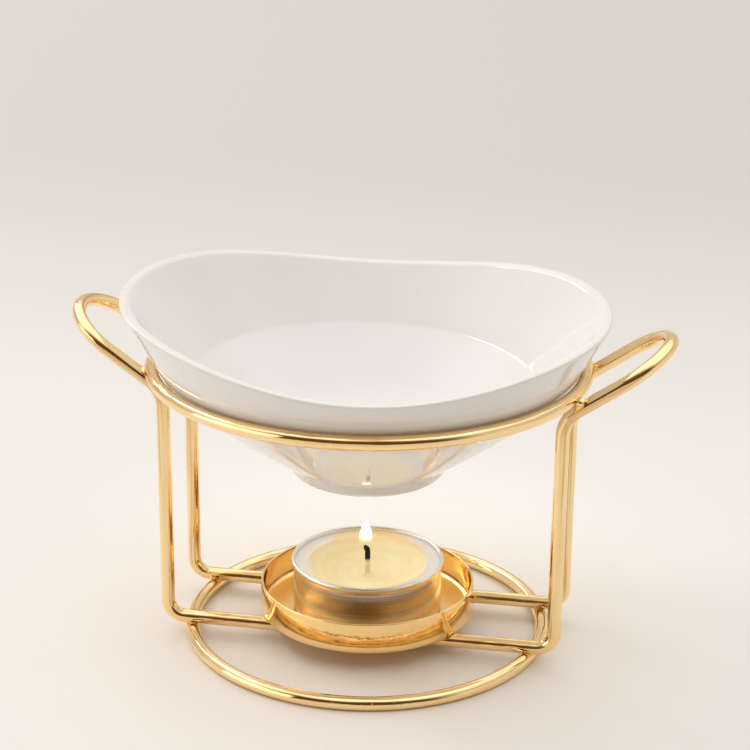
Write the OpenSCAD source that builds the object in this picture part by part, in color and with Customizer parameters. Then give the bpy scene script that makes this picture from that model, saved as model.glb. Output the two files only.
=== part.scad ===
// Essential oil burner: a loose ceramic bowl held over a tealight by a stand of welded gold wire.
// Millimetres, +Z up, standing on z = 0. The two handles lie along X, and +Y points away from the viewer.

/* [Wire stand] */
// Diameter of the wire
wire_d = 3.4; // [2.6:0.1:4.2]
// Ring that carries the bowl, across the centreline of its wire
bowl_ring_d = 104.8; // [96:0.2:126]
// Height of the bowl ring's centreline
bowl_ring_z = 70; // [60:0.2:90]
// Distance between the two legs of a side wire
leg_gap = 25; // [20:0.5:32]
// How far a leg stands inside the place where its handle meets the bowl ring
leg_inset = 2.6; // [2:0.1:3.4]
// How far the base ring's crossing lies inside the leg, at least clear of the foot's bend
base_inset = 6.1; // [5:0.1:9]
// Bend radius between leg and foot
foot_bend_r = 4.2; // [3:0.1:4.8]
// Loss of wire diameter where it is drawn round a bend
bend_draw = 0.02; // [0.02:0.01:0.1]
// Gap between the ends of a left and a right foot, under the tray
foot_end_gap = 14; // [6:0.5:24]
// Depth of the flat that is dressed under the base ring
rest_flat = 0.15; // [0.1:0.05:0.4]

/* [Handles] */
// Bend radius between leg and handle
handle_bend_r = 8; // [6:0.5:10]
// Slope of the handle above level, in degrees
handle_slope = 35; // [25:1:42]
// Reach of the handle's outermost wire beyond its legs
handle_reach = 23.6; // [21:0.2:36]

/* [Candle tray] */
// Outer diameter
tray_d = 54.2; // [46:0.2:64]
// Height of the wall
tray_h = 8.2; // [6:0.2:11]
// Thickness of the pressed sheet
tray_t = 0.6; // [0.5:0.05:1]
// Outside radius of the pressed corner
tray_corner_r = 1.8; // [1.4:0.1:2.6]

/* [Tealight] */
// Outer diameter of the cup
cup_d = 38; // [34:0.5:42]
// Height of the cup
cup_h = 13.2; // [12:0.2:17]
// Thickness of the foil
cup_t = 0.3; // [0.2:0.05:0.4]
// Width of the rolled rim outside the wall
cup_roll = 0.5; // [0.3:0.1:0.8]
// Depth of the wax below the rim
wax_drop = 1.6; // [1.2:0.1:3]
// Height of the wax meniscus at the wall
wax_meniscus = 0.6; // [0.3:0.1:1]
// Diameter of the wick
wick_d = 1.4; // [1.2:0.1:2]
// Straight height of the wick above the wax
wick_rise = 3; // [2:0.2:5]
// Bend radius of the burnt tip
wick_hook_r = 1.1; // [1.1:0.1:2]
// Diameter of the tin tab that holds the wick
tab_d = 12; // [10:0.5:16]
// Thickness of the tin tab
tab_t = 0.4; // [0.3:0.05:0.6]
// Height of the tab's collar
tab_collar_h = 3; // [2:0.2:4]

/* [Bowl] */
// Thickness of the dish, beside its bulge
bowl_t = 3.8; // [3:0.1:4.6]
// How far the dish's outside bulges
dish_bulge = 0.5; // [0.1:0.1:1]
// Thickness of the upper wall at the highest part of its rim
rim_t = 2.4; // [2:0.1:3.2]
// Slope of the upper wall's outside above level, in degrees
wall_slope = 61; // [58:0.5:70]
// Slope of its inside, which thickens the wall towards the shoulder
inside_slope = 53; // [51:0.5:57]
// Height of the highest part of the rim above the bowl ring
rim_rise = 16; // [12:0.2:24]
// How far the saddle rim dips at front and back
rim_dip = 6.3; // [2:0.1:8]
// Turn of the bowl in its ring, in degrees
rim_turn = 8.2; // [0:0.2:20]
// Lean of the rim and the hollow, left side up, in degrees
rim_lean = 1.5; // [0:0.05:2]
// Depth of the shoulder below the bowl ring
shoulder_drop = 3.1; // [2.2:0.1:4]
// Radius that eases the shoulder
shoulder_r = 5; // [3.6:0.2:8]
// Diameter of the foot
bowl_foot_d = 36.8; // [30:0.2:46]
// Depth of the foot below the bowl ring
bowl_foot_drop = 27.8; // [24:0.2:32]
// Height of the foot's side, below the dish
bowl_foot_h = 3.7; // [2.6:0.1:5]
// Slope of the foot's side, in degrees
bowl_foot_slope = 62; // [54:1:76]
// Radius of the foot's outer edge
bowl_foot_r = 3.2; // [1.5:0.1:4]
// Radius of the glaze between foot and dish
bowl_fillet_r = 1; // [0.6:0.1:2]
// Diameter of the recess under the foot
bowl_recess_d = 27; // [20:0.5:28]
// Depth of the recess
bowl_recess_h = 0.8; // [0.4:0.1:1.4]
// Thickness from foot to floor
bowl_floor_t = 5.4; // [4.4:0.1:7]
// Radius inside, between dish and floor, where the floor is wide enough for it
bowl_floor_r = 50; // [20:1:60]

/* [Clearances] */
// Between two welded pieces, bridged by the weld
weld_gap = 0.1; // [0.05:0.05:0.2]
// How far a foot is pressed into the base ring, and the tray into a foot, as they are welded
weld_set = 0.9; // [0.6:0.1:1.1]
// Radius of a weld nugget between a handle and the bowl ring
weld_r = 1.5; // [1.2:0.1:1.8]
// Radius of a weld nugget inside a foot
nugget_r = 1.1; // [0.9:0.1:1.2]
// Between a nugget and the pieces that it joins
weld_skin = 0.02; // [0.01:0.01:0.05]
// Between the bowl and its ring
seat_gap = 0.25; // [0.15:0.05:0.4]
// Between the tealight and the tray's floor
cup_gap = 0.1; // [0.05:0.05:0.3]
// Around the wax, the tab and the wick, inside the tealight
cast_gap = 0.15; // [0.1:0.05:0.3]

/* [Hidden] */
$fn = 64;
// Finer steps for the two large rings
ring_fn = 256;
// Length of a straight run that stays in the start of a bend
lap = 0.05;
// Steps of an arc in a turned outline, and of half the saddle rim
arc_steps = 6;
saddle_steps = 12;

// Wire stand: a side wire crosses both rings at y = leg_y
leg_y = leg_gap / 2;
ring_r = bowl_ring_d / 2;
ring_x = hundredth(sqrt(ring_r * ring_r - leg_y * leg_y));
leg_x = ring_x - leg_inset;
notch_half = sqrt(pow(wire_d / 2 + weld_gap, 2) - pow(wire_d / 2 - weld_set, 2));
notch_slant = 1.12;
base_x = leg_x - max(base_inset, foot_bend_r + notch_slant * notch_half + lap);
base_r = hundredth(sqrt(base_x * base_x + leg_y * leg_y));
axis_step = wire_d + weld_gap;
bend_d = wire_d - bend_draw;
base_z = wire_d / 2 - rest_flat;
foot_z = base_z + wire_d - weld_set;
foot_run = leg_x - foot_bend_r - foot_end_gap / 2;

// Handles: the slope passes one wire below the bowl ring, measured square to the slope
bend_x = leg_x + handle_bend_r;
ring_to_bend = bend_x - ring_x;
bend_rise = handle_bend_r + axis_step - ring_to_bend * sin(handle_slope);
bend_z = hundredth(bowl_ring_z - bend_rise / cos(handle_slope));
bend_to_tip = handle_reach - handle_bend_r * (1 - sin(handle_slope));
slope_run = hundredth(bend_to_tip / cos(handle_slope) - leg_y);
ring_along = -ring_to_bend * cos(handle_slope) + (bowl_ring_z - bend_z) * sin(handle_slope);

// Tray and tealight, stacked on the feet
tray_z = foot_z + wire_d / 2 - weld_set;
tray_r = tray_d / 2;
tray_flat_r = tray_r - tray_corner_r;
tray_flat_x = sqrt(tray_flat_r * tray_flat_r - leg_y * leg_y);
tray_weld_x = (foot_end_gap / 2 + tray_flat_x) / 2;
cup_z = tray_z + tray_t + cup_gap;
cup_r = cup_d / 2;
cup_floor_z = cup_z + cup_t;
wax_z = cup_z + cup_h - wax_drop;
wick_r = wick_d / 2;
tab_z = cup_floor_z + cast_gap;
collar_r = wick_r + cast_gap + tab_t;
collar_top = tab_z + tab_collar_h;
wick_bend_z = wax_z + wick_rise;

// Bowl: the wall runs seat_gap clear of the bowl ring, and the dish runs from shoulder to foot's side
rim_z = bowl_ring_z + rim_rise;
stock_z = rim_z + 2 * ring_r * tan(rim_lean) + rim_dip;
saddle_r = wall_radius(rim_z);
shoulder_z = bowl_ring_z - shoulder_drop;
shoulder = [wall_radius(shoulder_z), shoulder_z];
bowl_foot_z = bowl_ring_z - bowl_foot_drop;
bowl_foot = [bowl_foot_d / 2, bowl_foot_z];
dish_foot = bowl_foot + bowl_foot_h * [1 / tan(bowl_foot_slope), 1];
dish_slope = atan2(shoulder[1] - dish_foot[1], shoulder[0] - dish_foot[0]);
dish_along = [cos(dish_slope), sin(dish_slope)];
dish_in = [-sin(dish_slope), cos(dish_slope)];
wall_along_inside = [cos(inside_slope), sin(inside_slope)];
rim_inside = [saddle_r - rim_t / sin(wall_slope), rim_z];
dish_to_rim = rim_inside - dish_foot - bowl_t * dish_in;
dish_run = cross(dish_to_rim, wall_along_inside) / cross(dish_along, wall_along_inside);
shoulder_inside = dish_foot + bowl_t * dish_in + dish_run * dish_along;
floor_z = bowl_foot_z + bowl_floor_t;
floor_edge = [shoulder_inside[0] - (shoulder_inside[1] - floor_z) / tan(dish_slope), floor_z];
floor_r = min(bowl_floor_r, 0.95 * floor_edge[0] / tan(dish_slope / 2));
wall_middle = (shoulder_inside + rim_inside) / 2;
lean_z = wall_middle[1] + wall_middle[0] / tan(inside_slope);

// Outer radius of the bowl's upper wall at a height
function wall_radius(z) =
    ring_r + ((z - bowl_ring_z) * cos(wall_slope) - wire_d / 2 - seat_gap) / sin(wall_slope);

// Places that pieces share are kept to a hundredth of a millimetre
function hundredth(x) = round(x * 100) / 100;

function unit(v) = v / norm(v);

// Points from a to b that bulge to the right of that way
function bulged(a, b, bulge) =
    let(along = unit(b - a))
    [for (i = [0 : arc_steps])
        let(t = i / arc_steps) a + t * (b - a) + 4 * bulge * t * (1 - t) * [along[1], -along[0]]];

// Points that round the corner b of the outline a, b, c to a radius
function rounded(a, b, c, radius) =
    let(
        u = unit(a - b),
        v = unit(c - b),
        half = acos(u * v) / 2,
        centre = b + unit(u + v) * radius / sin(half),
        from = b + u * radius / tan(half) - centre,
        to = b + v * radius / tan(half) - centre,
        start = atan2(from[1], from[0]),
        swing = atan2(to[1], to[0]) - start,
        sweep = swing > 180 ? swing - 360 : swing < -180 ? swing + 360 : swing
    )
    [for (i = [0 : arc_steps]) centre + radius * [cos(start + sweep * i / arc_steps),
                                                  sin(start + sweep * i / arc_steps)]];

module mirrored_pair(axis) {
    children();
    mirror(axis)
        children();
}

// The four places where a side wire crosses a ring or the tray
module at_four_legs() {
    mirrored_pair([1, 0, 0])
        mirrored_pair([0, 1, 0])
            children();
}

// Straight wire along +Z
module wire_run(length, skin = 0) {
    cylinder(d = wire_d + 2 * skin, h = length);
}

// Wire bent in the XZ plane; angles run from +X towards +Z
module wire_bend(radius, start, sweep) {
    rotate([90, 0, 0])
        rotate_extrude(angle = sweep, start = start)
            translate([radius, 0])
                circle(d = bend_d);
}

// Closed level ring of wire
module wire_ring(radius, z, skin = 0) {
    translate([0, 0, z])
        rotate_extrude($fn = ring_fn)
            translate([radius, 0])
                circle(d = wire_d + 2 * skin);
}

module foot_wire() {
    translate([foot_end_gap / 2, leg_y, foot_z])
        rotate([0, 90, 0])
            wire_run(foot_run + lap);
}

// Nugget between a foot and the top of the base ring
module base_nugget(skin = 0) {
    translate([base_x, leg_y, base_z + wire_d / 2])
        sphere(r = nugget_r + skin);
}

// Nugget between a foot and the underside of the tray
module tray_nugget(skin = 0) {
    translate([tray_weld_x, leg_y, tray_z])
        sphere(r = nugget_r + skin);
}

// The underside of the tray, from a little below it, which flattens the feet
module tray_press() {
    reach = tray_r + weld_gap;
    low = tray_z - weld_gap;
    top = low + 2 * wire_d;
    rotate_extrude()
        polygon(concat(
            [[0, low]],
            rounded([0, low], [reach, low], [reach, top], tray_corner_r + weld_gap),
            [[reach, top], [0, top]]
        ));
}

// Frame of a handle: the bend's centre, X along the slope, Z square above it
module in_handle() {
    translate([bend_x, 0, bend_z])
        rotate([0, -handle_slope, 0])
            children();
}

// The straight part of a handle, in its frame; it may start early to clear a weld
module slope_wire(early = 0, skin = 0) {
    translate([-lap - early, leg_y, handle_bend_r])
        rotate([0, 90, 0])
            wire_run(slope_run + early + 2 * lap, skin);
}

// Leg and foot; the foot is notched where it crosses the base ring and flat under the tray
module leg_wire() {
    difference() {
        union() {
            foot_wire();
            translate([leg_x - foot_bend_r, leg_y, foot_z + foot_bend_r])
                wire_bend(foot_bend_r, 270, 90);
            translate([leg_x, leg_y, foot_z + foot_bend_r - lap])
                wire_run(bend_z - foot_z - foot_bend_r + 2 * lap);
        }
        wire_ring(base_r, base_z, weld_gap);
        tray_press();
        base_nugget(weld_skin);
        tray_nugget(weld_skin);
    }
}

module handle_half() {
    translate([0, leg_y, 0])
        wire_bend(handle_bend_r, 90, 90 - handle_slope);
    slope_wire();
}

// One bent wire: foot, leg, handle loop, second leg, second foot
module right_side_wire() {
    color("#cfa451") {
        mirrored_pair([0, 1, 0])
            leg_wire();
        in_handle() {
            mirrored_pair([0, 1, 0])
                handle_half();
            translate([slope_run, 0, handle_bend_r])
                rotate_extrude(angle = 180, start = -90)
                    translate([leg_y, 0])
                        circle(d = bend_d);
        }
    }
}

module left_side_wire() {
    mirror([1, 0, 0])
        right_side_wire();
}

module base_ring() {
    color("#c89b48")
        difference() {
            wire_ring(base_r, base_z);
            translate([0, 0, -wire_d])
                cylinder(r = base_r + wire_d, h = wire_d);
        }
}

module bowl_ring() {
    color("#d8ae5c")
        wire_ring(ring_r, bowl_ring_z);
}

module base_ring_welds() {
    color("#b98b3c")
        at_four_legs()
            difference() {
                base_nugget();
                wire_ring(base_r, base_z, weld_skin);
            }
}

module bowl_ring_welds() {
    color("#b98b3c")
        at_four_legs()
            difference() {
                in_handle()
                    translate([ring_along, leg_y, handle_bend_r + axis_step / 2])
                        sphere(r = weld_r);
                wire_ring(ring_r, bowl_ring_z, weld_skin);
                in_handle()
                    slope_wire(2 * weld_r, weld_skin);
            }
}

module tray_welds() {
    color("#b98b3c")
        at_four_legs()
            difference() {
                tray_nugget();
                translate([tray_weld_x, leg_y, tray_z - weld_skin])
                    cylinder(r = 2 * nugget_r, h = 2 * nugget_r);
            }
}

// Pressed pan of thin sheet
module candle_tray() {
    top = tray_z + tray_h;
    low = tray_z + tray_t;
    inside = tray_r - tray_t;
    color("#e0b45e")
        rotate_extrude()
            polygon(concat(
                [[0, tray_z]],
                rounded([0, tray_z], [tray_r, tray_z], [tray_r, top], tray_corner_r),
                [[tray_r, top], [inside, top]],
                rounded([inside, top], [inside, low], [0, low], tray_corner_r - tray_t),
                [[0, low]]
            ));
}

// Thin drawn cup with a rolled rim
module tealight_cup() {
    top = cup_z + cup_h;
    wall_r = cup_r - cup_roll;
    color("#c9cacd")
        rotate_extrude()
            polygon([
                [0, cup_z],
                [wall_r, cup_z],
                [wall_r, top - cup_roll - cup_t],
                [cup_r, top - cup_roll],
                [cup_r, top],
                [wall_r - cup_t, top],
                [wall_r - cup_t, cup_floor_z],
                [0, cup_floor_z]
            ]);
}

// Wax cast round the tab, its collar and the wick
module tealight_wax() {
    outside = cup_r - cup_roll - cup_t - cast_gap;
    color("#f3e6bd")
        rotate_extrude()
            polygon([
                [tab_d / 2 + cast_gap, cup_floor_z + cast_gap],
                [outside, cup_floor_z + cast_gap],
                [outside, wax_z + wax_meniscus],
                [outside - wax_meniscus, wax_z],
                [wick_r + cast_gap, wax_z],
                [wick_r + cast_gap, collar_top + cast_gap],
                [collar_r + cast_gap, collar_top + cast_gap],
                [collar_r + cast_gap, tab_z + tab_t + cast_gap],
                [tab_d / 2 + cast_gap, tab_z + tab_t + cast_gap]
            ]);
}

// Pressed tin tab whose collar grips the wick
module wick_sustainer() {
    color("#b4b6b8")
        rotate_extrude()
            polygon([
                [wick_r + cast_gap, tab_z],
                [tab_d / 2, tab_z],
                [tab_d / 2, tab_z + tab_t],
                [collar_r, tab_z + tab_t],
                [collar_r, collar_top],
                [wick_r + cast_gap, collar_top]
            ]);
}

// Cotton wick, bent over to the left at its burnt tip
module wick() {
    color("#2b2420") {
        translate([0, 0, tab_z])
            cylinder(d = wick_d, h = wick_bend_z - tab_z);
        translate([-wick_hook_r, 0, wick_bend_z])
            rotate([90, 0, 0])
                rotate_extrude(angle = 90)
                    translate([wick_hook_r, 0])
                        circle(d = wick_d);
    }
}

// Space above the saddle rim: level at the two ends, lowest midway
module above_the_rim() {
    half = 2 * ring_r;
    saddle = [for (i = [-saddle_steps : saddle_steps])
        let(u = i / saddle_steps) [u * saddle_r, -rim_dip * pow(1 - u * u, 2)]];
    translate([0, 0, rim_z])
        rotate([0, rim_lean, 0])
            rotate([0, 0, rim_turn])
                rotate([90, 0, 0])
                    linear_extrude(2 * half, center = true)
                        polygon(concat([[-half, 0]], saddle, [[half, 0], [half, half], [-half, half]]));
}

// Outside of the bowl: foot with a recess, dish, shoulder and a steeper wall, taller than the rim
module bowl_stock() {
    recess_r = bowl_recess_d / 2;
    recess_z = bowl_foot_z + bowl_recess_h;
    dish = bulged(dish_foot, shoulder, dish_bulge);
    brim = [wall_radius(stock_z), stock_z];
    rotate_extrude()
        polygon(concat(
            [[0, recess_z], [recess_r - bowl_recess_h, recess_z], [recess_r, bowl_foot_z]],
            rounded([0, bowl_foot_z], bowl_foot, dish_foot, bowl_foot_r),
            rounded(bowl_foot, dish_foot, dish[1], bowl_fillet_r),
            [for (i = [1 : arc_steps - 1]) dish[i]],
            rounded(dish[arc_steps - 1], shoulder, brim, shoulder_r + bowl_t),
            [brim, [0, stock_z]]
        ));
}

// Hollow of the bowl, which leans about the place on the axis that its wall faces
module bowl_hollow() {
    top_z = stock_z + rim_dip;
    brim_inside = rim_inside + (top_z - rim_z) / sin(inside_slope) * wall_along_inside;
    translate([0, 0, lean_z])
        rotate([0, rim_lean, 0])
            translate([0, 0, -lean_z])
                rotate_extrude()
                    polygon(concat(
                        [[0, floor_z]],
                        rounded([0, floor_z], floor_edge, shoulder_inside, floor_r),
                        rounded(floor_edge, shoulder_inside, brim_inside, shoulder_r),
                        [brim_inside, [0, top_z]]
                    ));
}

// Slip-cast bowl, cut to the saddle rim
module bowl() {
    color("#f4f2ee")
        difference() {
            bowl_stock();
            bowl_hollow();
            above_the_rim();
        }
}

base_ring();
left_side_wire();
right_side_wire();
bowl_ring();
candle_tray();
base_ring_welds();
bowl_ring_welds();
tray_welds();
tealight_cup();
tealight_wax();
wick();
wick_sustainer();
bowl();
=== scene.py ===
import bpy
import numpy as np
from mathutils import Matrix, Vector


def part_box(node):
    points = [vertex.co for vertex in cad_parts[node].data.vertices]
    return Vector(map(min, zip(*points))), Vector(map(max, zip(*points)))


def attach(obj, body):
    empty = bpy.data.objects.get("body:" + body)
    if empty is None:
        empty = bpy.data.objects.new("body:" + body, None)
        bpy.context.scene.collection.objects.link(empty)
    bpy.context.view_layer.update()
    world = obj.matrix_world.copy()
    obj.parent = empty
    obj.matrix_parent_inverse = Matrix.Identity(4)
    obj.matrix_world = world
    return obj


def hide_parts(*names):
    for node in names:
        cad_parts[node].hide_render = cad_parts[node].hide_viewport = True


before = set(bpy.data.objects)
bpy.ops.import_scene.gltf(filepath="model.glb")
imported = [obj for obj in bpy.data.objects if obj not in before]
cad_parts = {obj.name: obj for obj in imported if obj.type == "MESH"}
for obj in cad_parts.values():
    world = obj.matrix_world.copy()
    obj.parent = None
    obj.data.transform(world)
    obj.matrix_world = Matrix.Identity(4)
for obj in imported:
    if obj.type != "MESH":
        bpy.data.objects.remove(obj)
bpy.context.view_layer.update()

# Base ring
# A closed ring of steel wire, butt-welded, polished and plated in bright gold. It lies on the
# table on a narrow flat, and the four feet are resistance-welded on top of it.
MM = 0.001
base_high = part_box("base_ring")[1]
ring_low, ring_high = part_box("bowl_ring")
wire_r = (ring_high.z - ring_low.z) / 2
base_r = base_high.x - wire_r
base_z = base_high.z - wire_r
ring_steps = 288
wire_sides = 32


def skin(name, grid, closed_path=False):
    """Mesh of a grid of points, where row i is a closed ring at step i of a path.

    Neighbouring rows join into quads. A closed path joins its last row to its first, and an
    open one gets a fan to the middle of each end row. Faces are turned to a positive volume.
    UV holds the share of the way round a row, and of the way along the path.
    """
    rows, cols = grid.shape[:2]
    points = grid.reshape(-1, 3)
    index = np.arange(rows * cols).reshape(rows, cols)
    near = index if closed_path else index[:-1]
    far = np.roll(index, -1, 0) if closed_path else index[1:]
    quads = np.stack([near, np.roll(near, -1, 1), np.roll(far, -1, 1), far], -1).reshape(-1, 4)
    i, j = np.divmod(np.arange(len(quads)), cols)
    around = np.stack([j, j + 1, j + 1, j], -1) / cols
    along = np.stack([i, i, i + 1, i + 1], -1) / len(near)
    faces, uv = [quads], [np.stack([around, along], -1)]
    if not closed_path:
        points = np.concatenate([points, grid[[0, -1]].mean(1)])
        share = np.arange(cols) / cols
        for end, row in enumerate((index[0], index[-1])):
            fan = np.stack([np.full(cols, rows * cols + end), np.roll(row, -1), row], -1)
            fan_uv = np.stack([share + 0.5 / cols, share + 1 / cols, share], -1)
            fan_uv = np.stack([fan_uv, np.full_like(fan_uv, end)], -1)
            way = -1 if end else 1
            faces.append(fan[:, ::way])
            uv.append(fan_uv[:, ::way])
    a, b, c, d = points[quads].swapaxes(0, 1)
    volume = (np.cross(b - a, c - a) * a).sum() + (np.cross(c - a, d - a) * a).sum()
    way = 1 if volume > 0 else -1
    polygons = [face for part in faces for face in part[:, ::way].tolist()]
    mesh = bpy.data.meshes.new(name)
    mesh.from_pydata(points.tolist(), [], polygons)
    corners = np.concatenate([part[:, ::way].ravel() for part in uv])
    mesh.uv_layers.new(name="surface").data.foreach_set("uv", corners)
    mesh.polygons.foreach_set("use_smooth", np.ones(len(mesh.polygons), bool))
    mesh.update()
    piece = bpy.data.objects.new(name, mesh)
    bpy.context.scene.collection.objects.link(piece)
    return piece


def unit(v):
    """Vectors of length 1."""
    return v / np.linalg.norm(v, axis=-1, keepdims=True)


def tube(path, along, lean, radius):
    """Ring points p + r (n cos a + b sin a), with n = along x lean and b = along x n, both unit."""
    across = unit(np.cross(along, lean))
    third = np.cross(along, across)
    a = np.linspace(0, 2 * np.pi, wire_sides, endpoint=False)[None, :, None]
    r = np.broadcast_to(radius, len(path))[:, None, None]
    return path[:, None] + r * (across[:, None] * np.cos(a) + third[:, None] * np.sin(a))


def wire_ring(radius, z):
    """Closed tube on the level circle (radius cos t, radius sin t, z)."""
    t = np.linspace(0, 2 * np.pi, ring_steps, endpoint=False)
    path = np.stack([radius * np.cos(t), radius * np.sin(t), np.full_like(t, z)], -1)
    along = np.stack([-np.sin(t), np.cos(t), np.zeros_like(t)], -1)
    return tube(path, along, np.array([0.0, 0.0, 1.0]), wire_r)


class Tone:
    """A socket in a finish. Arithmetic on it adds Math nodes, and node() adds any other node."""

    def __init__(self, socket):
        self.socket = socket
        self.tree = socket.id_data

    def node(self, kind, settings, inputs, output=0):
        """A new node of a kind, with its settings made first and then its inputs set or linked."""
        made = self.tree.nodes.new("ShaderNode" + kind)
        for key, value in settings.items():
            if key == "stops":
                ramp = made.color_ramp.elements
                stops = [ramp[0], *(ramp.new(at) for at, _ in value[1:-1]), ramp[-1]]
                for stop, (at, colour) in zip(sorted(stops, key=lambda e: e.position), value):
                    stop.position, stop.color = at, (*colour, 1)
            else:
                setattr(made, key, value)
        for key, value in inputs.items():
            if isinstance(value, Tone):
                self.tree.links.new(value.socket, made.inputs[key])
            else:
                made.inputs[key].default_value = value
        return Tone(made.outputs[output])

    def math(self, operation, a, b=0.0):
        """A Math node on two values, each a number or a Tone."""
        return self.node("Math", {"operation": operation}, {0: a, 1: b})

    def __add__(self, other):
        return self.math("ADD", self, other)

    def __sub__(self, other):
        return self.math("SUBTRACT", self, other)

    def __rsub__(self, other):
        return self.math("SUBTRACT", other, self)

    def __mul__(self, other):
        return self.math("MULTIPLY", self, other)

    def __pow__(self, other):
        return self.math("POWER", self, other)

    __radd__ = __add__
    __rmul__ = __mul__

    def step(self, low, high):
        """0 below low and 1 above high, smooth between."""
        settings = {"interpolation_type": "SMOOTHSTEP"}
        return self.node("MapRange", settings, {"Value": self, "From Min": low, "From Max": high})

    def mix(self, a, b):
        """Colour a where this is 0, b where it is 1."""
        a, b = (c if isinstance(c, Tone) else (*c, 1) for c in (a, b))
        return self.node("Mix", {"data_type": "RGBA"}, {0: self, 6: a, 7: b}, 2)

    def noise(self, scale, detail):
        """Noise of this many cells a metre on a vector socket."""
        return self.node("TexNoise", {}, {"Vector": self, "Scale": scale, "Detail": detail})

    def stretched(self, x, y, z):
        """A vector with each part scaled, to draw a pattern out."""
        return self.node("VectorMath", {"operation": "MULTIPLY"}, {0: self, 1: (x, y, z)})

    def parts(self):
        """The X, Y and Z of a vector socket."""
        split = self.node("SeparateXYZ", {}, {0: self}).socket.node
        return [Tone(s) for s in split.outputs]

    def from_axis(self):
        """Distance of a vector socket from the Z axis."""
        x, y, _ = self.parts()
        return (x * x + y * y) ** 0.5


class Finish:
    """A material: its shader's sockets are set by name, to a number, a colour or a Tone."""

    def __init__(self, name):
        self.material = bpy.data.materials.new(name)
        self.material.use_nodes = True
        tree = self.material.node_tree
        self.shader = tree.nodes["Principled BSDF"]
        coordinates = tree.nodes.new("ShaderNodeTexCoord").outputs
        self.place, self.surface = Tone(coordinates["Object"]), Tone(coordinates["UV"])

    def set(self, **values):
        """Sets or links the shader's sockets, named with _ for a space."""
        for key, value in values.items():
            socket = self.shader.inputs[key.replace("_", " ")]
            if isinstance(value, Tone):
                value.tree.links.new(value.socket, socket)
            else:
                socket.default_value = (*value, 1) if isinstance(value, tuple) else value

    def bump(self, height, depth):
        """Raises the surface by height times depth, in metres."""
        self.set(Normal=self.place.node("Bump", {}, {"Height": height, "Distance": depth}))

    def on(self, *pieces):
        """Puts the finish on pieces as their only material."""
        for piece in pieces:
            piece.data.materials.clear()
            piece.data.materials.append(self.material)


def gold_plate(name, satin=0.0, streak=1.0, warmth=0.0):
    """Mirror gold over drawn steel: long draw lines that break up reflections, haze and tiny pits.

    satin is roughness that is added all over with a fine grain, streak scales the draw lines and the
    thin dark brown lines painted along them as painted reflection, and warmth deepens the gold. The
    lines lie on a rolled-up copy of UV, so that they meet all round.
    """
    plate = Finish(name)
    u, v, _ = plate.surface.parts()
    cosine, sine = (u.math(wave, u * (2 * np.pi)) for wave in ("COSINE", "SINE"))
    rolled = u.node("CombineXYZ", {}, {0: cosine, 1: sine, 2: v})
    draw = rolled.stretched(1.4, 1.4, 10.0).noise(1.0, 2.0)
    fine = rolled.stretched(6.0, 6.0, 20.0).noise(1.0, 3.0)
    grain = plate.place.noise(800.0, 2.0)
    haze = plate.place.noise(110.0, 3.0).step(0.35, 0.75)
    pits = plate.place.noise(1900.0, 1.0).step(0.72, 0.80)
    # Thin dark brown lines painted along the draw lines: a painted reflection of dark surroundings,
    # not a mark in the plate.
    painted_reflection_streaks = draw.step(0.58, 0.64) * (1 - draw.step(0.66, 0.72)) * (0.45 * streak)
    clear_gold = (1.0, 0.78 - 0.06 * warmth, 0.43 - 0.09 * warmth)
    hazy_gold = (0.99, 0.73 - 0.06 * warmth, 0.37 - 0.08 * warmth)
    tone = haze.mix(clear_gold, hazy_gold)
    plate.set(
        Base_Color=(painted_reflection_streaks + pits * 0.4).mix(tone, (0.52, 0.25, 0.08)),
        Metallic=1.0,
        Roughness=0.03 + satin + haze * 0.04 + fine * 0.04 + pits * 0.2,
    )
    plate.bump(draw * streak + fine * (0.12 * streak) + grain * (4.0 * satin) - pits * 0.2, 0.13 * MM)
    return plate


wire_gold = gold_plate("bright_gold_wire")
base_skin = wire_ring(base_r, base_z)
base_skin[..., 2] = np.maximum(base_skin[..., 2], 0)
base_ring = skin("base_ring_wire", base_skin, closed_path=True)
wire_gold.on(base_ring)
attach(base_ring, "stand")
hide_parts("base_ring")

# Side wires
# Each is one length of the same wire, cold-bent: a foot under the tray, a leg, the handle loop,
# a second leg and foot. Welding presses the feet into the base ring, and flat under the tray.
side_low, side_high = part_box("right_side_wire")
tray_low, tray_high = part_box("candle_tray")
tray_r = tray_high.x
tray_corner_r = 1.8 * MM
ring_r = ring_high.x - wire_r
ring_z = (ring_high.z + ring_low.z) / 2
leg_y = side_high.y - wire_r
foot_z = side_low.z + wire_r
foot_end = side_low.x
ring_x = np.sqrt(ring_r**2 - leg_y**2)
leg_inset = 2.6 * MM
leg_x = ring_x - leg_inset
foot_bend_r = 4.2 * MM
handle_bend_r = 8.0 * MM
handle_slope = np.radians(35.0)
tip_x = side_high.x - wire_r
wire_gap = 0.1 * MM
foot_steps, bend_steps, leg_steps, slope_steps, loop_steps = 160, 14, 40, 12, 41


def straight(a, b, steps):
    """Points from a to b, without b."""
    t = np.linspace(0, 1, steps, endpoint=False)[:, None]
    return np.asarray(a) * (1 - t) + np.asarray(b) * t


def turn(centre, radius, start, end, steps):
    """Arc in the XZ plane round centre; angles run from +X towards +Z, without the end."""
    a = np.linspace(start, end, steps, endpoint=False)
    return np.asarray(centre) + radius * np.stack([np.cos(a), 0 * a, np.sin(a)], -1)


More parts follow.
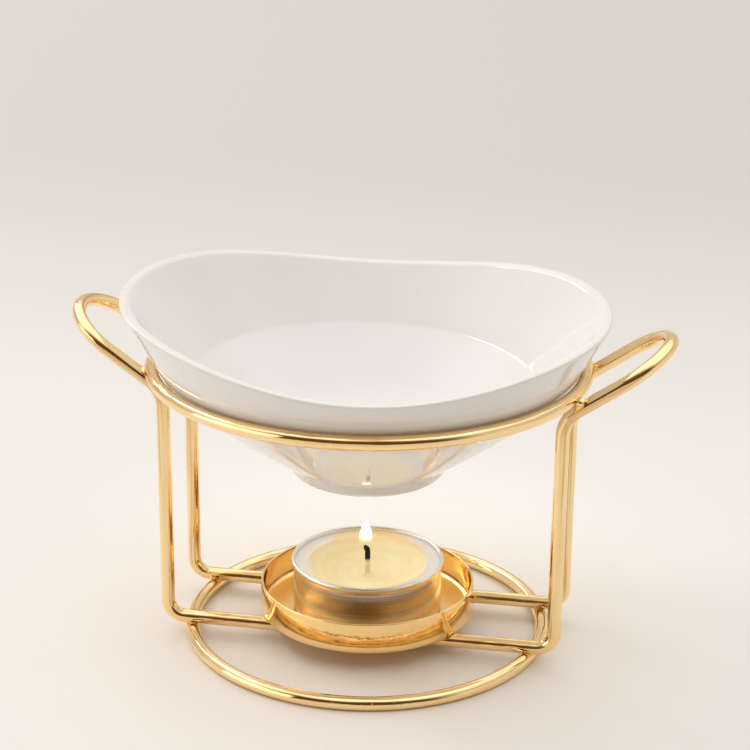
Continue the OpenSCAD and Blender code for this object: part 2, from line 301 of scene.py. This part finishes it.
def side_wire_path():
    """Half of the centreline at y = leg_y, the half circle in the sloped plane, then the mirror."""
    bend_x = leg_x + handle_bend_r
    rise = handle_bend_r + 2 * wire_r + wire_gap - (bend_x - ring_x) * np.sin(handle_slope)
    bend_z = ring_z - rise / np.cos(handle_slope)
    slope = np.array([np.cos(handle_slope), 0, np.sin(handle_slope)])
    square = np.array([-np.sin(handle_slope), 0, np.cos(handle_slope)])
    slope_start = np.array([bend_x, leg_y, bend_z]) + handle_bend_r * square
    slope_run = (tip_x - slope_start[0]) / slope[0] - leg_y
    loop = slope_start + slope_run * slope
    foot_x, leg_z = leg_x - foot_bend_r, foot_z + foot_bend_r
    half = np.concatenate([
        straight((foot_end, leg_y, foot_z), (foot_x, leg_y, foot_z), foot_steps),
        turn((foot_x, leg_y, leg_z), foot_bend_r, -np.pi / 2, 0, bend_steps),
        straight((leg_x, leg_y, leg_z), (leg_x, leg_y, bend_z), leg_steps),
        turn((bend_x, leg_y, bend_z), handle_bend_r, np.pi, np.pi / 2 + handle_slope, bend_steps),
        straight(slope_start, loop, slope_steps),
    ])
    a = np.linspace(np.pi / 2, -np.pi / 2, loop_steps)[:, None]
    middle = np.array([loop[0], 0, loop[2]])
    loop_points = middle + leg_y * (np.cos(a) * slope + np.sin(a) * np.array([0, 1, 0]))
    return np.concatenate([half, loop_points, half[::-1] * (1, -1, 1)])


def pressed(grid):
    """The skin kept wire_gap above the base ring's round and below the tray's floor and corner."""
    x, y, z = np.moveaxis(grid, -1, 0)
    r = np.hypot(x, y)
    over_ring = base_z + np.sqrt(np.maximum((wire_r + wire_gap) ** 2 - (r - base_r) ** 2, 0))
    near_ring = (abs(r - base_r) < wire_r + wire_gap) & (z < foot_z)
    corner = tray_corner_r + wire_gap
    out = np.clip(r - (tray_r - tray_corner_r), 0, corner)
    under_tray = tray_low.z + tray_corner_r - np.sqrt(corner**2 - out**2)
    z = np.where(near_ring, np.maximum(z, over_ring), z)
    z = np.where(r < tray_r + wire_gap, np.minimum(z, under_tray), z)
    return np.stack([x, y, z], -1)


def side_wire(name, side):
    """Tube along the path, pressed at its welds, each cut end rounded over in three short rings."""
    path = side_wire_path()
    along = unit(np.gradient(path, axis=0))
    grid = tube(path, along, np.array([1.0, 0.0, -1.0]), wire_r)
    ease = np.array([(0.0, 0.72), (0.10, 0.90), (0.28, 1.0)])
    start, finish = (
        np.array([path[end] + (grid[end] - path[end]) * share + out * along[end] * run * wire_r
                  for run, share in ease])
        for end, out in ((0, 1), (-1, -1))
    )
    grid = np.concatenate([start, grid[1:-1], finish[::-1]])
    return skin(name, pressed(grid) * (side, 1, 1))


right_wire = side_wire("right_wire", 1)
left_wire = side_wire("left_wire", -1)
wire_gold.on(right_wire, left_wire)
for piece, node in ((right_wire, "right_side_wire"), (left_wire, "left_side_wire")):
    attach(piece, "stand")
    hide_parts(node)

# Bowl ring
# A second closed ring of the same wire, on the upper side of the four handle bends.
# The bowl rests in it by its own weight.
bowl_ring = skin("bowl_ring_wire", wire_ring(ring_r, ring_z), closed_path=True)
wire_gold.on(bowl_ring)
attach(bowl_ring, "stand")
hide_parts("bowl_ring")

# Welds
# Twelve resistance-weld nuggets, plated over with the wire: four hold the feet to the base
# ring, four hold the bowl ring to the handles, and four hold the tray to the feet.
weld_steps = 20


def nuggets(name, centres, reach):
    """Closed beads r(a, e) = reach (1 + 0.08 cos 3a sin 2e), one on each centre."""
    e = np.linspace(-np.pi / 2, np.pi / 2, weld_steps)[1:-1, None]
    a = np.linspace(0, 2 * np.pi, weld_steps, endpoint=False)[None]
    swell = 1 + 0.08 * np.cos(3 * a) * np.sin(2 * e)
    bead = np.stack([np.cos(e) * np.cos(a), np.cos(e) * np.sin(a), np.sin(e) + 0 * a], -1)
    bead = bead * swell[..., None] * np.asarray(reach)
    beads = [skin(name, bead + centre) for centre in centres]
    with bpy.context.temp_override(active_object=beads[0], selected_editable_objects=beads):
        bpy.ops.object.join()
    return beads[0]


def four_legs(x, y, z):
    """The same place at all four legs."""
    return [np.array([sx * x, sy * y, z]) for sx in (-1, 1) for sy in (-1, 1)]


weld_reach = (1.55 * MM, 1.55 * MM, 1.25 * MM)
base_x = np.sqrt(base_r**2 - leg_y**2)
weld_drop = wire_r + wire_gap / 2
tray_weld_x = 14.5 * MM
tray_weld_drop = 0.9 * MM
weld_gold = gold_plate("gold_over_weld", satin=0.06, streak=0.3)
for name, places in (
    ("base_ring_welds", four_legs(base_x, leg_y, (base_z + foot_z) / 2)),
    ("bowl_ring_welds", four_legs(ring_x + weld_drop * np.sin(handle_slope), leg_y,
                                  ring_z - weld_drop * np.cos(handle_slope))),
    ("tray_welds", four_legs(tray_weld_x, leg_y, tray_low.z - tray_weld_drop)),
):
    weld = nuggets(name + "_beads", places, weld_reach)
    weld_gold.on(weld)
    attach(weld, "stand")
    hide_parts(name)

# Candle tray
# A shallow pan pressed from thin steel sheet, its wall drawn up and leaning in a little, then
# plated: the wall is bright, the floor satin. It is welded on top of the four feet.
tray_sheet = 0.6 * MM
tray_lean = 0.5 * MM
tray_top_r = tray_r - tray_lean
tray_lip_r = 0.45 * tray_sheet
core_r = 0.3 * MM
turn_steps = 192


def rounded(a, b, c, radius, steps=8):
    """Arc of a radius that eases the corner b of the outline a, b, c."""
    a, b, c = (np.asarray(p, float) for p in (a, b, c))
    u, v = unit(a - b), unit(c - b)
    half = np.arccos(u @ v) / 2
    centre = b + unit(u + v) * radius / np.sin(half)
    ends = [b + w * radius / np.tan(half) - centre for w in (u, v)]
    start, end = (np.arctan2(p[1], p[0]) for p in ends)
    sweep = (end - start + np.pi) % (2 * np.pi) - np.pi
    t = start + sweep * np.linspace(0, 1, steps)
    return centre + radius * np.stack([np.cos(t), np.sin(t)], -1)


def turned(name, outline, closed=False):
    """Surface of an outline of (radius, height) points turned about Z.

    An open outline starts and ends core_r from the axis, where fans close it. A washer's is closed.
    """
    a = np.linspace(0, 2 * np.pi, turn_steps, endpoint=False)
    r, z = outline[:, :1], outline[:, 1:]
    return skin(name, np.stack([r * np.cos(a), r * np.sin(a), z + 0 * a], -1), closed)


def filled(points, most):
    """The outline with extra points, so that none of its steps is longer than most."""
    points = np.asarray(points, float)
    length = np.linalg.norm(np.diff(points, axis=0), axis=1)
    count = np.maximum(np.ceil(length / most).astype(int), 1)
    steps = [straight(a, b, n) for a, b, n in zip(points[:-1], points[1:], count)]
    return np.concatenate([*steps, points[-1:]])


def tray_outline():
    """Out along the underside, up the wall, over the rounded edge, and back along the floor."""
    low, top, floor = tray_low.z, tray_high.z, tray_low.z + tray_sheet
    outer, outer_top = (tray_r, low), (tray_top_r, top)
    inner, inner_top = (tray_r - tray_sheet, floor), (tray_top_r - tray_sheet, top)
    return filled(np.concatenate([
        [(core_r, low)],
        rounded((0, low), outer, outer_top, tray_corner_r),
        rounded(outer, outer_top, inner_top, tray_lip_r, steps=5),
        rounded(outer_top, inner_top, inner, tray_lip_r, steps=5),
        rounded(inner_top, inner, (0, floor), tray_corner_r - tray_sheet),
        [(core_r, floor)],
    ]), most=1.5 * MM)


tray = turned("candle_tray_pan", tray_outline())
tray_gold = gold_plate("gold_sheet", satin=0.03, streak=0.15, warmth=1.0)
pan_floor = 1 - tray_gold.place.from_axis().step(tray_r - 3.2 * MM, tray_r - 1.6 * MM)
granular = tray_gold.place.noise(650.0, 2.0)
tray_gold.set(Roughness=0.06 + pan_floor * (0.08 + granular * 0.12))
tray_gold.on(tray)
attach(tray, "stand")
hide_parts("candle_tray")

# Tealight cup
# Drawn from thin aluminium foil, with a small rolled rim.
# It stands loose on the floor of the tray.
cup_low, cup_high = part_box("tealight_cup")
cup_r = cup_high.x
cup_foil = 0.3 * MM
cup_roll = 0.5 * MM
cup_raise = 0.5 * MM
cup_edge_r = 0.9 * MM
cup_rest_w = 2.6 * MM
cup_rest_slope = 0.6 * MM
roll_drop = 1.2 * MM


def cup_outline():
    """Under the raised floor, up the wall, round the rolled rim and down inside."""
    wall, inner = cup_r - cup_roll, cup_r - cup_roll - cup_foil
    low, top, raised = cup_low.z, cup_high.z, cup_low.z + cup_raise
    rest_r, raised_r = wall - cup_rest_w, wall - cup_rest_w - cup_rest_slope
    bead = cup_roll * 0.98
    a = np.linspace(-0.35 * np.pi, np.pi, 16)
    roll = np.stack([cup_r - bead + bead * np.cos(a), top - bead + bead * np.sin(a)], -1)
    return filled(np.concatenate([
        [(core_r, raised), (raised_r, raised)],
        rounded((raised_r, raised), (rest_r, low), (wall, low), cup_foil, steps=4),
        rounded((0, low), (wall, low), (wall, top), cup_edge_r),
        [(wall, top - roll_drop)],
        roll,
        [(inner, top - roll_drop - 0.2 * MM)],
        rounded((inner, top), (inner, low + cup_foil), (0, low + cup_foil), cup_edge_r - cup_foil),
        [(raised_r - 0.2 * MM, raised + cup_foil), (core_r, raised + cup_foil)],
    ]), most=1.0 * MM)


cup = turned("tealight_foil_cup", cup_outline())
foil = Finish("drawn_aluminium_foil")
draw_lines = foil.place.stretched(30.0, 30.0, 2600.0).noise(1.0, 3.0)
foil_dents = foil.place.noise(140.0, 1.0)
foil.set(Base_Color=draw_lines.mix((0.86, 0.86, 0.87), (0.93, 0.93, 0.94)), Metallic=1.0,
         Roughness=0.20 + draw_lines * 0.10)
foil.bump(draw_lines * 0.3 + foil_dents, 0.08 * MM)
foil.on(cup)
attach(cup, "tealight")
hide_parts("tealight_cup")

# Wax
# Pale yellow paraffin cast into the cup. The flame has melted a clear pool into it, and a
# soft white collar of unmelted wax is left along the foil.
wax_low, wax_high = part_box("tealight_wax")
wax_r = wax_high.x
pool_z = wax_high.z - 0.6 * MM
pool_r = 14.8 * MM
tab_low, tab_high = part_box("wick_sustainer")
crater_z = tab_high.z + 0.5 * MM
crater_r = 4.0 * MM
wax_edge = 0.5 * MM


def crater(r):
    """Height of the melted crater at radius r: a sine quarter wave from pool_r down to crater_z."""
    t = np.clip((pool_r - r) / (pool_r - crater_r), 0, 1)
    return pool_z - (pool_z - crater_z) * np.sin(0.5 * np.pi * t) ** 0.8


def wax_outline():
    """Solid wax: under, up the foil, down the collar as a quarter wave, then down the crater."""
    t = np.linspace(0, 1, 24)
    collar = np.stack([wax_r + (pool_r - wax_r) * t,
                       pool_z + (wax_high.z - pool_z) * (1 - np.sin(0.5 * np.pi * t))], -1)
    r = np.linspace(pool_r, core_r, 48)[1:]
    return filled(np.concatenate([
        [(core_r, wax_low.z), (wax_r - wax_edge, wax_low.z), (wax_r, wax_low.z + wax_edge)],
        collar,
        np.stack([r, crater(r)], -1),
    ]), most=0.7 * MM)


wax = turned("tealight_wax_solid", wax_outline())
paraffin = Finish("pale_paraffin")
soft = paraffin.place.noise(160.0, 3.0)
x, y, _ = paraffin.place.parts()
from_wick = paraffin.place.from_axis() + (soft - 0.5) * (4.0 * MM)
frost = (from_wick - y * y * 12.0).step(pool_r - 1.6 * MM, pool_r + 1.6 * MM)
rings = (paraffin.place.math("SINE", from_wick * 2100.0) * 0.5 + 0.5) * soft.step(0.3, 0.7)
melted = rings.mix((0.93, 0.82, 0.53), (1.0, 0.95, 0.80))
# An orange band painted on the back of the pool's edge only: painted flame light on the far wall of
# the pool.
at_back = (y - x * x * 20.0).step(0.0, 7.0 * MM)
painted_back_glow = from_wick.step(pool_r - 0.6 * MM, pool_r + 0.8 * MM) * at_back
melted = painted_back_glow.mix(melted, (0.92, 0.67, 0.30))
# The emission is painted glow: warm over the melted pool, standing in for flame light through the
# wax, and grey-white on the collar to lift it.
paraffin.set(
    Base_Color=frost.mix(melted, soft.mix((0.94, 0.94, 0.95), (0.97, 0.96, 0.94))),
    Roughness=0.40 + soft * 0.2,
    Subsurface_Weight=0.3,
    Subsurface_Scale=2.0 * MM,
    Emission_Color=frost.mix((1.0, 0.84, 0.48), (0.62, 0.60, 0.57)),
    Emission_Strength=0.20,
)
paraffin.bump(soft + rings * 0.15, 0.15 * MM)
paraffin.on(wax)
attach(wax, "tealight")
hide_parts("tealight_wax")


def pool_outline():
    """Liquid wax: a level top that rises a little at its edge and at the wick, over the crater."""
    r = np.linspace(core_r, pool_r + 0.5 * MM, 48)
    under = np.stack([r, crater(r) - 0.1 * MM], -1)
    top = [(pool_r + 0.6 * MM, pool_z + 0.05 * MM), (pool_r - 0.4 * MM, pool_z + 0.03 * MM),
           (pool_r - 1.4 * MM, pool_z + 0.02 * MM), (1.4 * MM, pool_z + 0.02 * MM),
           (0.9 * MM, pool_z + 0.15 * MM), (core_r, pool_z + 0.2 * MM)]
    return filled(np.concatenate([under, top]), most=0.8 * MM)


pool = turned("melted_pool", pool_outline())
pool.visible_shadow = False
melt = Finish("melted_paraffin")
ripple = melt.place.noise(60.0, 1.0)
melt.set(Base_Color=ripple.mix((1.0, 0.99, 0.94), (1.0, 1.0, 0.97)), Roughness=0.01 + ripple * 0.02,
         IOR=1.43, Transmission_Weight=1.0)
melt.bump(ripple, 0.1 * MM)
melt.on(pool)
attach(pool, "tealight")

# Wick and its tin tab
# A braided cotton wick, pale where wax soaks it and charred black above, bent over to the
# left at its tip. It is gripped by the collar of a pressed tin tab on the cup's floor.
wick_low, wick_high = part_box("wick")
wick_r = wick_high.y
hook_r = 1.1 * MM
hook_turn = np.radians(88.2)
stem_steps, hook_steps = 90, 20
braid_pitch = 1.1 * MM
tip_taper = 0.5 * MM
tab_sheet = 0.4 * MM
tab_edge_r = 0.15 * MM
tab_collar_r = 0.5 * MM


def wick_grid():
    """Tube up the axis and over a quarter bend, its radius rippled by two crossing braid waves."""
    bend_z = wick_high.z - hook_r - wick_r
    stem = straight((0, 0, wick_low.z), (0, 0, bend_z), stem_steps)
    hook = turn((-hook_r, 0, bend_z), hook_r, 0, hook_turn, hook_steps)
    path = np.concatenate([stem, hook])
    along = unit(np.gradient(path, axis=0))
    grid = tube(path, along, np.array([0.0, 1.0, 0.0]), 1.0)
    run = np.concatenate([[0], np.cumsum(np.linalg.norm(np.diff(path, axis=0), axis=1))])[:, None]
    a = np.linspace(0, 2 * np.pi, wire_sides, endpoint=False)[None]
    wave = 2 * np.pi / braid_pitch * run
    braid = np.maximum(np.sin(3 * a + wave), np.sin(3 * a - wave))
    tip = np.minimum(1, (run[-1] - run) / tip_taper + 0.45)
    radius = wick_r * tip * (0.90 + 0.09 * braid)
    return path[:, None] + (grid - path[:, None]) * radius[..., None]


wick = skin("wick_braid", wick_grid())
cotton = Finish("charred_cotton")
height = cotton.place.parts()[2]
fibre = cotton.place.noise(1500.0, 3.0)
char = (height + fibre * (0.8 * MM)).step(pool_z + 0.7 * MM, pool_z + 1.7 * MM)
cotton.set(Base_Color=char.mix((0.97, 0.92, 0.76), (0.012, 0.010, 0.009)),
           Roughness=0.75 + fibre * 0.2)
cotton.bump(fibre, 0.2 * MM)
cotton.on(wick)
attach(wick, "tealight")
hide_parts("wick")


def tab_outline():
    """A flat disc with a rounded edge and a short collar drawn up round the wick."""
    r, low, top = tab_high.x, tab_low.z, tab_low.z + tab_sheet
    bore, collar = wick_r + 0.05 * MM, wick_r + 0.55 * MM
    return filled(np.concatenate([
        [(bore, low)],
        rounded((0, low), (r, low), (r, top), tab_edge_r, steps=4),
        rounded((r, low), (r, top), (0, top), tab_edge_r, steps=4),
        rounded((r, top), (collar, top), (collar, tab_high.z), tab_collar_r),
        [(collar, tab_high.z), (bore, tab_high.z)],
    ]), most=0.8 * MM)


tab = turned("wick_tin_tab", tab_outline(), closed=True)
tin = Finish("tinned_sheet")
tin_grain = tin.place.noise(400.0, 3.0)
tin.set(Base_Color=tin_grain.mix((0.62, 0.62, 0.60), (0.74, 0.74, 0.72)), Metallic=1.0,
        Roughness=0.3 + tin_grain * 0.15)
tin.bump(tin_grain, 0.05 * MM)
tin.on(tab)
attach(tab, "tealight")
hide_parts("wick_sustainer")

# Flame
# The small flame on the wick, white in the middle and orange where it fades out below.
# It is burning gas, so it stands for no solid, and it moves with the tealight.
flame_low = wick_high.z + 0.6 * MM
flame_high = wick_high.z + 6.6 * MM
flame_r = 1.9 * MM
flame_shift, flame_lean = -0.6 * MM, 0.2 * MM
flame_round = 0.22
flame_rows, flame_sides = 64, 40


def flame_grid():
    """Tooth r(t) = flame_r (1 - t^1.3)^0.7 up the height t, to the left, round at the bottom."""
    t = np.linspace(0.002, 0.996, flame_rows)[:, None]
    a = np.linspace(0, 2 * np.pi, flame_sides, endpoint=False)[None]
    bottom = np.sqrt(1 - (1 - np.minimum(t / flame_round, 1)) ** 2)
    r = flame_r * (1 - t**1.3) ** 0.7 * bottom
    lean = flame_shift + flame_lean * t
    z = flame_low + (flame_high - flame_low) * t
    return np.stack([r * np.cos(a) + lean, r * np.sin(a), z + 0 * a], -1)


flame = skin("flame", flame_grid())
burning = Finish("burning_gas")
height = burning.place.parts()[2]
bright = height.step(flame_low, flame_low + 3.0 * MM)
burning.set(
    Base_Color=bright.mix((0.0, 0.0, 0.0), (0.02, 0.015, 0.01)),
    Roughness=1.0,
    Specular_IOR_Level=0.0,
    Emission_Color=bright.mix((1.0, 0.50, 0.12), (1.0, 0.90, 0.66)),
    Emission_Strength=3.5,
    Alpha=bright ** 1.4 * 0.94,
)
burning.on(flame)
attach(flame, "tealight")

# Bowl
# Slip-cast white porcelain under a clear glossy glaze: a short foot, a wide dish, a soft
# shoulder and a steeper wall that ends in a saddle rim. It lies loose in the bowl ring.
bowl_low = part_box("bowl")[0]
bowl_wall = 3.8 * MM
wall_slope = np.radians(61.0)
inside_slope = np.radians(53.0)
rim_wall = 2.4 * MM
seat_gap = 0.25 * MM
shoulder_z = ring_z - 3.1 * MM
bowl_foot_r = 18.4 * MM
bowl_foot_h = 3.7 * MM
bowl_foot_slope = np.radians(62.0)
bowl_foot = np.array([bowl_foot_r, bowl_low.z])
dish_foot = bowl_foot + bowl_foot_h * np.array([1 / np.tan(bowl_foot_slope), 1.0])
dish_bulge = 0.5 * MM
recess_r = 13.5 * MM
recess_h = 0.8 * MM
recess_round, foot_round, foot_fillet = 0.6 * MM, 3.2 * MM, 1.0 * MM
shoulder_round, inside_round = 8.0 * MM, 4.4 * MM
floor_z = bowl_low.z + 5.4 * MM
floor_r = 50.0 * MM
rim_z = ring_z + 16.0 * MM
rim_dip = 6.3 * MM
rim_turn = np.radians(8.2)
rim_lean = np.radians(1.5)
lip_width = 2.6 * MM
lip_fall = 0.04
lip_outer_r = 0.5 * MM
lip_inner_r = 2.0 * MM
bowl_steps = 288
row_step = 1.6 * MM
dish_rows, wall_rows, lip_rows = 13, 16, 9


def wall_radius(z):
    """Outer radius of the upper wall, a cone that clears the bowl ring by seat_gap."""
    return ring_r + ((z - ring_z) * np.cos(wall_slope) - wire_r - seat_gap) / np.sin(wall_slope)


def rim_height(a):
    """Height of the rim at azimuth a: rim_z - dip (1 - (u/R)^2)^2 - x tan lean, u is x turned."""
    z = np.full_like(a, rim_z)
    for _ in range(6):
        r = wall_radius(z)
        across = np.clip(r * np.cos(a - rim_turn) / wall_radius(rim_z), -1, 1)
        z = rim_z - rim_dip * (1 - across**2) ** 2 - r * np.cos(a) * np.tan(rim_lean)
    return z


def cross(a, b):
    """Cross product of two vectors in a plane."""
    return a[0] * b[1] - a[1] * b[0]


def bowl_grid():
    """Rows from under the foot, up the outside, over the lip, and down the inside to the floor.

    The dish is the same all round. The wall's rows stretch to the rim's height at each azimuth,
    where the lip is rolled over between a small outer and a larger inner round. The hollow leans
    like the rim, about the place on the axis that its wall faces.
    """
    a = np.linspace(0, 2 * np.pi, bowl_steps, endpoint=False)
    shoulder = np.array([wall_radius(shoulder_z), shoulder_z])
    up, up_inside = (np.array([np.cos(s), np.sin(s)]) for s in (wall_slope, inside_slope))
    dish = unit(shoulder - dish_foot)
    dish_start = dish_foot + bowl_wall * np.array([-dish[1], dish[0]])
    rim_inside = np.array([wall_radius(rim_z) - rim_wall / np.sin(wall_slope), rim_z])
    to_rim = rim_inside - dish_start
    inside = dish_start + cross(to_rim, up_inside) / cross(dish, up_inside) * dish
    floor_edge = inside - dish * (inside[1] - floor_z) / dish[1]
    t = np.linspace(0, 1, dish_rows)[:, None]
    bulge = 4 * dish_bulge * t * (1 - t) * np.array([dish[1], -dish[0]])
    dish_out = dish_foot + t * (shoulder - dish_foot) + bulge
    recess = np.array([(0, recess_h), (recess_r - recess_h, recess_h), (recess_r, 0)])
    recess = recess + (0, bowl_low.z)
    widest = 0.95 * floor_edge[0] * (1 + dish[0]) / dish[1]
    below = filled(np.concatenate([
        recess[:1] + (core_r, 0),
        rounded(*recess, recess_round, steps=4),
        rounded(*recess[1:], bowl_foot, recess_round, steps=4),
        rounded(recess[2], bowl_foot, dish_foot, foot_round, steps=14),
        rounded(bowl_foot, dish_foot, dish_out[1], foot_fillet, steps=6),
        dish_out[1:-1],
        rounded(dish_out[-2], shoulder, shoulder + up, shoulder_round, steps=12),
    ]), most=row_step)
    above = filled(np.concatenate([
        rounded(inside + up_inside, inside, floor_edge, inside_round, steps=14),
        rounded(inside, floor_edge, (0, floor_z), min(floor_r, widest), steps=24),
        [(core_r, floor_z)],
    ]), most=row_step)
    top = rim_height(a)
    outer_edge = np.stack([wall_radius(top), top], -1)
    over = np.array([-1.0, -lip_fall])
    inner_edge = outer_edge + lip_width * over
    corner = np.zeros(2)
    outer_round = outer_edge + rounded(-up, corner, over, lip_outer_r, lip_rows)[:, None]
    inner_round = inner_edge + rounded(-over, corner, -up_inside, lip_inner_r, lip_rows)[:, None]
    s = np.linspace(0, 1, wall_rows)[1:-1, None, None]
    outer = below[-1] * (1 - s) + outer_round[0] * s
    lip = outer_round[-1] * (1 - s[::4]) + inner_round[0] * s[::4]
    under, basin = (np.repeat(rows[:, None], bowl_steps, 1) for rows in (below, above))
    rows = np.concatenate([under, outer, outer_round, lip, inner_round, basin])
    r, z = rows[..., 0], rows[..., 1]
    grid = np.stack([r * np.cos(a), r * np.sin(a), z], -1)
    outside, hollow = grid[:-len(above)], grid[-len(above):]
    wall_middle = (inside + rim_inside) / 2
    pivot = np.array([0, 0, wall_middle[1] + wall_middle[0] / np.tan(inside_slope)])
    hollow = (hollow - pivot) @ np.array(Matrix.Rotation(rim_lean, 3, "Y")).T + pivot
    inner = outside[-1] * (1 - s) + hollow[0] * s
    return np.concatenate([outside, inner, hollow])


bowl = skin("bowl_porcelain", bowl_grid())
glaze = Finish("white_glaze")
height = glaze.place.parts()[2]
orange_peel = glaze.place.noise(160.0, 2.0)
drift = glaze.place.noise(25.0, 2.0).step(0.3, 0.7)
pinholes = glaze.place.noise(900.0, 0.0).step(0.82, 0.86)
at_foot = 1 - height.step(bowl_low.z + 0.15 * MM, bowl_low.z + 0.5 * MM)
bare = at_foot * glaze.place.from_axis().step(recess_r - 1.0 * MM, recess_r - 0.3 * MM)
colour = drift.mix((0.86, 0.85, 0.83), (0.88, 0.87, 0.855))
colour = (pinholes * 0.06).mix(colour, (0.55, 0.50, 0.44))
glaze.set(Base_Color=bare.mix(colour, (0.78, 0.75, 0.70)),
          Roughness=0.05 + orange_peel * 0.05 + bare * 0.6, IOR=1.52)
glaze.bump(orange_peel + drift * 2.0 - pinholes, 0.04 * MM)
glaze.on(bowl)
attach(bowl, "bowl")
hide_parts("bowl")

# Stage
# A pale floor with painted light: a warm painted pool of light under the object and painted shade
# towards the front and far behind. One long soft light from behind on the left, a pale card low on
# the left, and a soft room that is brightest overhead and dark behind the camera.
floor_half = 6.0
floor_mesh = bpy.data.meshes.new("floor")
corners = [(x * floor_half, y * floor_half, 0) for x, y in ((-1, -1), (1, -1), (1, 1), (-1, 1))]
floor_mesh.from_pydata(corners, [], [(0, 1, 2, 3)])
floor = bpy.data.objects.new("floor", floor_mesh)
bpy.context.scene.collection.objects.link(floor)
table = Finish("pale_floor")
y = table.place.parts()[1]
# The floor's colour holds painted light: painted shade towards the front, a warm painted pool of
# light under the object, and painted shade far behind it.
painted_floor_light = y.step(-0.34, 0.02).mix((0.76, 0.72, 0.67), (0.80, 0.79, 0.775))
painted_floor_light = table.place.from_axis().step(0.04, 0.14).mix((0.94, 0.90, 0.85), painted_floor_light)
table.set(Base_Color=y.step(0.06, 0.50).mix(painted_floor_light, (0.64, 0.61, 0.58)), Roughness=0.5)
table.on(floor)

daylight = (1.0, 0.97, 0.93)
aim = (0.0, 0.0, 0.05)


def soft_light(name, place, long_way, width, height, power):
    """A soft light that faces the middle of the object, with its width along long_way."""
    lamp = bpy.data.lights.new(name, "AREA")
    lamp.shape, lamp.size, lamp.size_y = "RECTANGLE", width, height
    lamp.energy, lamp.color = power, daylight
    back = unit(np.array(place) - aim)
    up = unit(np.cross(back, long_way))
    turned_to = Matrix(np.column_stack([np.cross(up, back), up, back]).tolist()).to_4x4()
    light = bpy.data.objects.new(name, lamp)
    light.matrix_world = Matrix.Translation(place) @ turned_to
    bpy.context.scene.collection.objects.link(light)


soft_light("window_light", place=(-1.768, 0.897, 1.582), long_way=(-0.045, -0.82, 0.57),
           width=2.2, height=0.26, power=12.0)
soft_light("left_card", place=(-1.5, -0.9, 0.42), long_way=(0.6, -1.0, 0.0),
           width=1.6, height=0.8, power=5.5)

world = bpy.data.worlds.new("studio")
bpy.context.scene.world = world
world.use_nodes = True
sky = world.node_tree.nodes["Background"]
direction = Tone(world.node_tree.nodes.new("ShaderNodeTexCoord").outputs["Generated"])
_, y, height = direction.parts()
behind = [(0.0, (0.60, 0.57, 0.54)), (0.10, (0.55, 0.50, 0.45)), (0.25, (0.46, 0.40, 0.35)),
          (0.50, (0.51, 0.46, 0.41)), (0.65, (0.88, 0.87, 0.85)), (1.0, (1.0, 0.995, 0.99))]
in_front = [(0.0, (0.13, 0.07, 0.03)), (0.10, (0.07, 0.035, 0.015)), (0.60, (0.09, 0.05, 0.025)),
            (0.75, (0.34, 0.22, 0.13)), (0.90, (0.62, 0.50, 0.40)), (1.0, (1.0, 0.98, 0.96))]
behind, in_front = (height.node("ValToRGB", {"stops": stops}, {0: height})
                    for stops in (behind, in_front))
room = y.step(-0.72, -0.30).mix(in_front, behind)
by_camera = Tone(height.node("LightPath", {}, {}).socket.node.outputs["Is Camera Ray"])
world.node_tree.links.new(by_camera.mix(room, (0.65, 0.635, 0.62)).socket, sky.inputs["Color"])
sky.inputs["Strength"].default_value = 1.42

# Camera
# Where the photograph was taken from, fitted to the rings, the legs and the cup.
photo_width = 750
focal_px = 2000.0
camera_place = (0.08197, -0.4481, 0.2312)
yaw, pitch, roll = np.radians((-10.19, 19.83, -0.56))
forward = np.array([np.sin(yaw) * np.cos(pitch), np.cos(yaw) * np.cos(pitch), -np.sin(pitch)])
level = np.array([np.cos(yaw), -np.sin(yaw), 0.0])
down = np.cross(forward, level)
right = np.cos(roll) * level + np.sin(roll) * down
down = -np.sin(roll) * level + np.cos(roll) * down
view = Matrix(np.column_stack([right, -down, -forward]).tolist()).to_4x4()
lens = bpy.data.cameras.new("camera")
lens.sensor_width = 36.0
lens.lens = focal_px * lens.sensor_width / photo_width
lens.clip_start, lens.clip_end = 0.01, 50.0
camera = bpy.data.objects.new("camera", lens)
camera.matrix_world = Matrix.Translation(camera_place) @ view
bpy.context.scene.collection.objects.link(camera)
bpy.context.scene.camera = camera
bpy.context.scene.view_settings.view_transform = "Standard"
